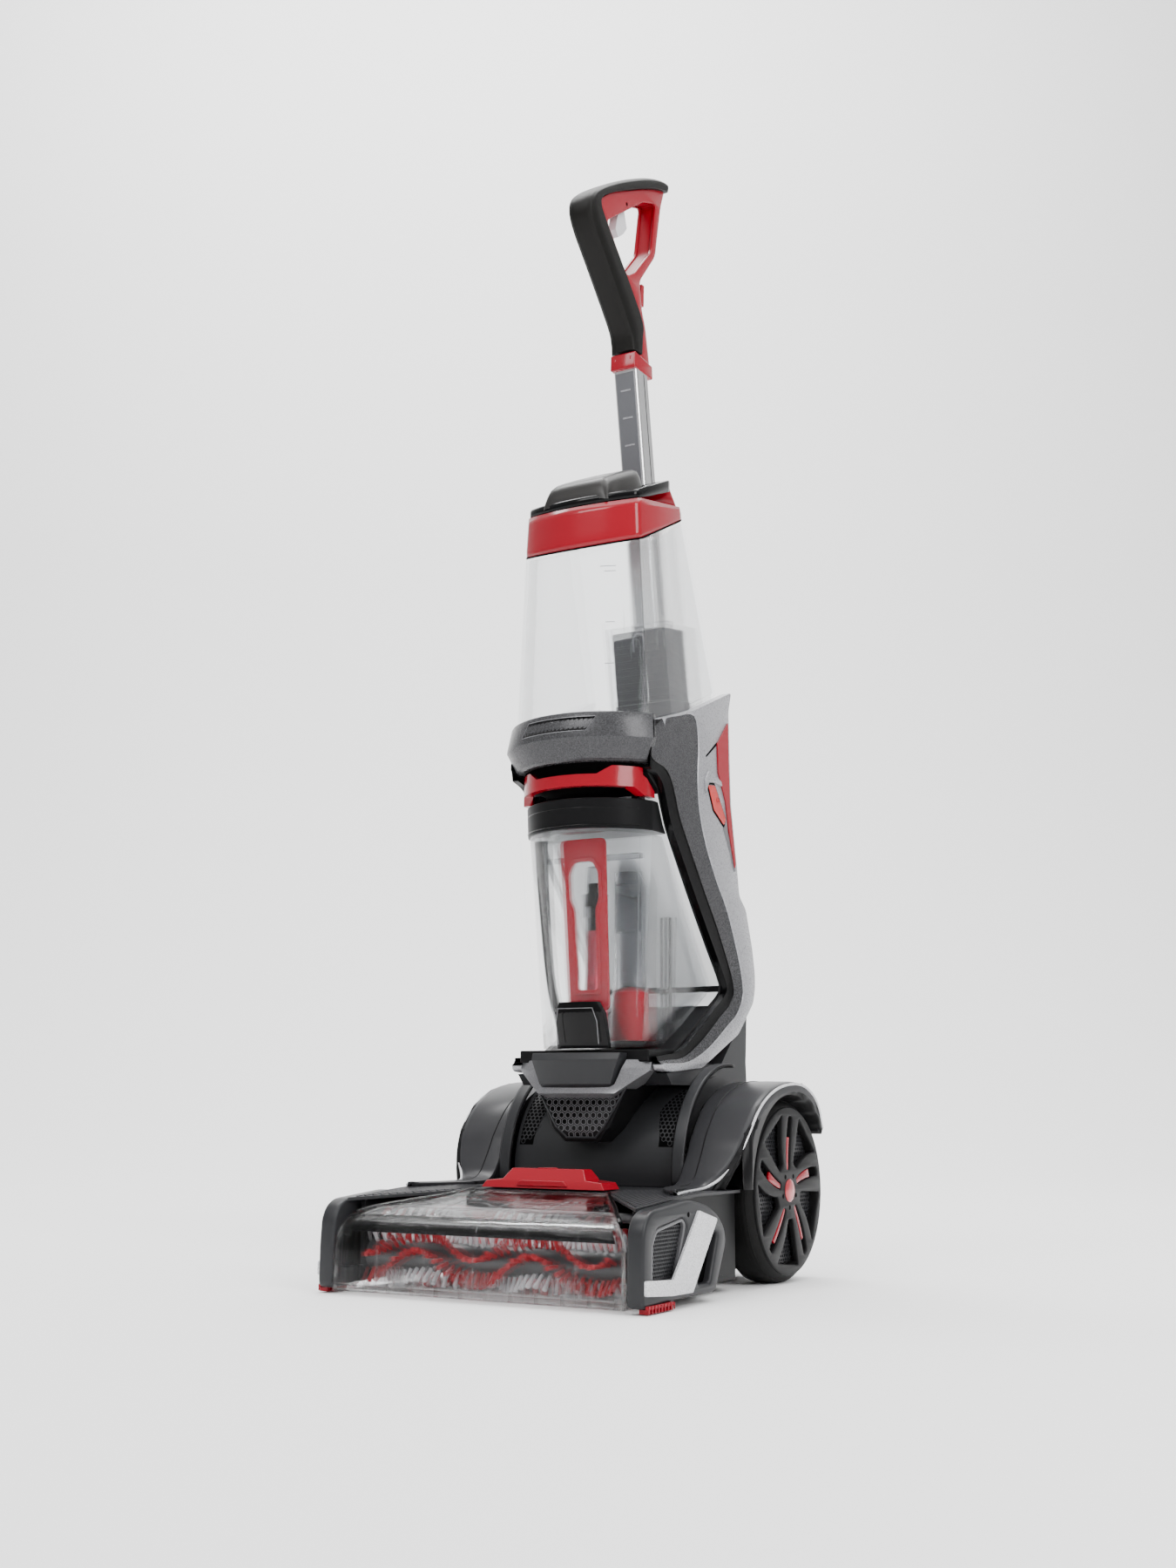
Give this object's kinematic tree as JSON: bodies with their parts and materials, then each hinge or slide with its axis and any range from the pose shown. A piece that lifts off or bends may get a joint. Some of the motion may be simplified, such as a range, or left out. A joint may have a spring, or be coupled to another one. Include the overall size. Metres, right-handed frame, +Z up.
{
  "type": "upright carpet cleaner",
  "caption": "Upright carpet washing machine with a clear brush window, two wheels, a reclining body, two clear tanks and a loop handle on a tube.",
  "frame": {"origin": "centre of the bounding box in plan, at floor level", "axes": "+Z up, -Y towards the front of the machine, X across it"},
  "size_m": [0.317, 0.38, 1.139],
  "materials": {
    "charcoal_plastic": "satin",
    "black_plastic": "gloss",
    "silver_paint": "metallic satin",
    "red_plastic": "gloss",
    "orange_plastic": "gloss",
    "clear_plastic": "clear gloss",
    "tube_aluminium": "brushed",
    "steel": "brushed",
    "motor_metal": "satin",
    "soft_grip": "matte",
    "grey_trigger": "satin",
    "wheel_grey": "satin",
    "tyre_rubber": "matte",
    "belt_rubber": "matte",
    "bristle": "matte",
    "brush_core": "satin"
  },
  "bodies": {
    "foot": {"foot_chassis": "black_plastic", "foot_deck": "charcoal_plastic", "barrel_shell": "charcoal_plastic", "side_cap_right": "charcoal_plastic", "side_cap_left": "charcoal_plastic", "cap_grilles": "black_plastic", "side_trims": "silver_paint", "edge_brushes": "bristle", "arch_right": "charcoal_plastic", "arch_left": "charcoal_plastic", "wheel_axles": "steel", "brush_motor": "motor_metal", "suction_duct": "black_plastic", "drive_belt": "belt_rubber", "belt_cover": "black_plastic", "spray_bar": "brush_core", "foot_screws": "steel"},
    "wheel_right": {"tyre_right": "tyre_rubber", "wheel_disc_right": "wheel_grey", "spoke_insert_right": "red_plastic"},
    "wheel_left": {"tyre_left": "tyre_rubber", "wheel_disc_left": "wheel_grey", "spoke_insert_left": "red_plastic"},
    "brush_roll_front": {"brush_core_front": "brush_core", "bristles_front": "bristle"},
    "brush_roll_rear": {"brush_core_rear": "brush_core", "bristles_rear": "bristle"},
    "motor_rotor": {"motor_pulley": "steel"},
    "window": {"nozzle_window": "clear_plastic"},
    "latch": {"nozzle_latch": "red_plastic"},
    "upright": {"lower_housing": "charcoal_plastic", "vent_cover": "charcoal_plastic", "lower_front_trim": "charcoal_plastic", "body_spine": "black_plastic", "frame_right": "silver_paint", "frame_left": "silver_paint", "chin_band": "silver_paint", "accents": "red_plastic", "front_collar": "charcoal_plastic", "tank_deck": "black_plastic", "tube_socket": "black_plastic", "handle_tube": "tube_aluminium", "cable_rail": "charcoal_plastic", "handle_grip": "soft_grip", "handle_core": "red_plastic", "cord_hook_lower": "black_plastic", "vacuum_motor": "motor_metal", "water_pump": "motor_metal"},
    "trigger_lever": {"trigger": "grey_trigger"},
    "button": {"power_button": "orange_plastic"},
    "cord_hook": {"cord_hook_upper": "red_plastic"},
    "water_tank": {"clean_tank": "clear_plastic", "tank_band": "red_plastic", "tank_lid": "black_plastic"},
    "recovery_tank": {"dirty_tank": "clear_plastic", "dirty_lid": "black_plastic", "separator_frame": "red_plastic", "inlet_stack": "red_plastic", "badge_plate": "black_plastic"},
    "bail": {"carry_handle": "red_plastic"}
  },
  "joints": [
    {"name": "recline", "type": "hinge", "parent": "foot", "child": "upright", "pos_m": [0, 0.095, 0.098], "axis": [-1, 0, 0], "range_deg": [0, 60]},
    {"name": "wheel_spin_right", "type": "hinge", "parent": "foot", "child": "wheel_right", "pos_m": [0.129, 0.108, 0.082], "axis": [1, 0, 0], "continuous": true},
    {"name": "wheel_spin_left", "type": "hinge", "parent": "foot", "child": "wheel_left", "pos_m": [-0.129, 0.108, 0.082], "axis": [1, 0, 0], "continuous": true},
    {"name": "brush_spin_front", "type": "hinge", "parent": "foot", "child": "brush_roll_front", "pos_m": [0, -0.15, 0.031], "axis": [1, 0, 0], "continuous": true},
    {"name": "brush_spin_rear", "type": "hinge", "parent": "foot", "child": "brush_roll_rear", "pos_m": [0, -0.092, 0.031], "axis": [1, 0, 0], "continuous": true},
    {"name": "motor_spin", "type": "hinge", "parent": "foot", "child": "motor_rotor", "pos_m": [-0.1, -0.03, 0.038], "axis": [1, 0, 0], "continuous": true},
    {"name": "window_lift_off", "type": "slide", "parent": "foot", "child": "window", "axis": [0, -0.5, 0.866], "range_m": [0, 0.09]},
    {"name": "latch_press", "type": "slide", "parent": "foot", "child": "latch", "axis": [0, 1, 0], "range_m": [0, 0.005], "stiffness_N_per_m": 400},
    {"name": "trigger_pull", "type": "hinge", "parent": "upright", "child": "trigger_lever", "pos_m": [0, 0.046, 1.072], "axis": [-1, 0, 0], "range_deg": [0, 12], "stiffness_Nm_per_rad": 0.6},
    {"name": "power_press", "type": "slide", "parent": "upright", "child": "button", "axis": [-1, 0, 0], "range_m": [0, 0.0025], "stiffness_N_per_m": 500},
    {"name": "cord_hook_turn", "type": "hinge", "parent": "upright", "child": "cord_hook", "pos_m": [0, 0.08, 0.984], "axis": [0, 1, 0], "range_deg": [0, 180]},
    {"name": "water_tank_lift", "type": "slide", "parent": "upright", "child": "water_tank", "axis": [0, -0.1599, 0.9871], "range_m": [0, 0.09]},
    {"name": "recovery_tank_pull", "type": "slide", "parent": "upright", "child": "recovery_tank", "axis": [0, -1, 0], "range_m": [0, 0.12]},
    {"name": "bail_tilt", "type": "hinge", "parent": "recovery_tank", "child": "bail", "pos_m": [0, -0.007, 0.4415], "axis": [1, 0, 0], "range_deg": [0, 6]}
  ],
  "couplings": [
    {"joint": "brush_spin_rear", "follows": "brush_spin_front", "ratio": 1},
    {"joint": "motor_spin", "follows": "brush_spin_front", "ratio": 1.5}
  ]
}
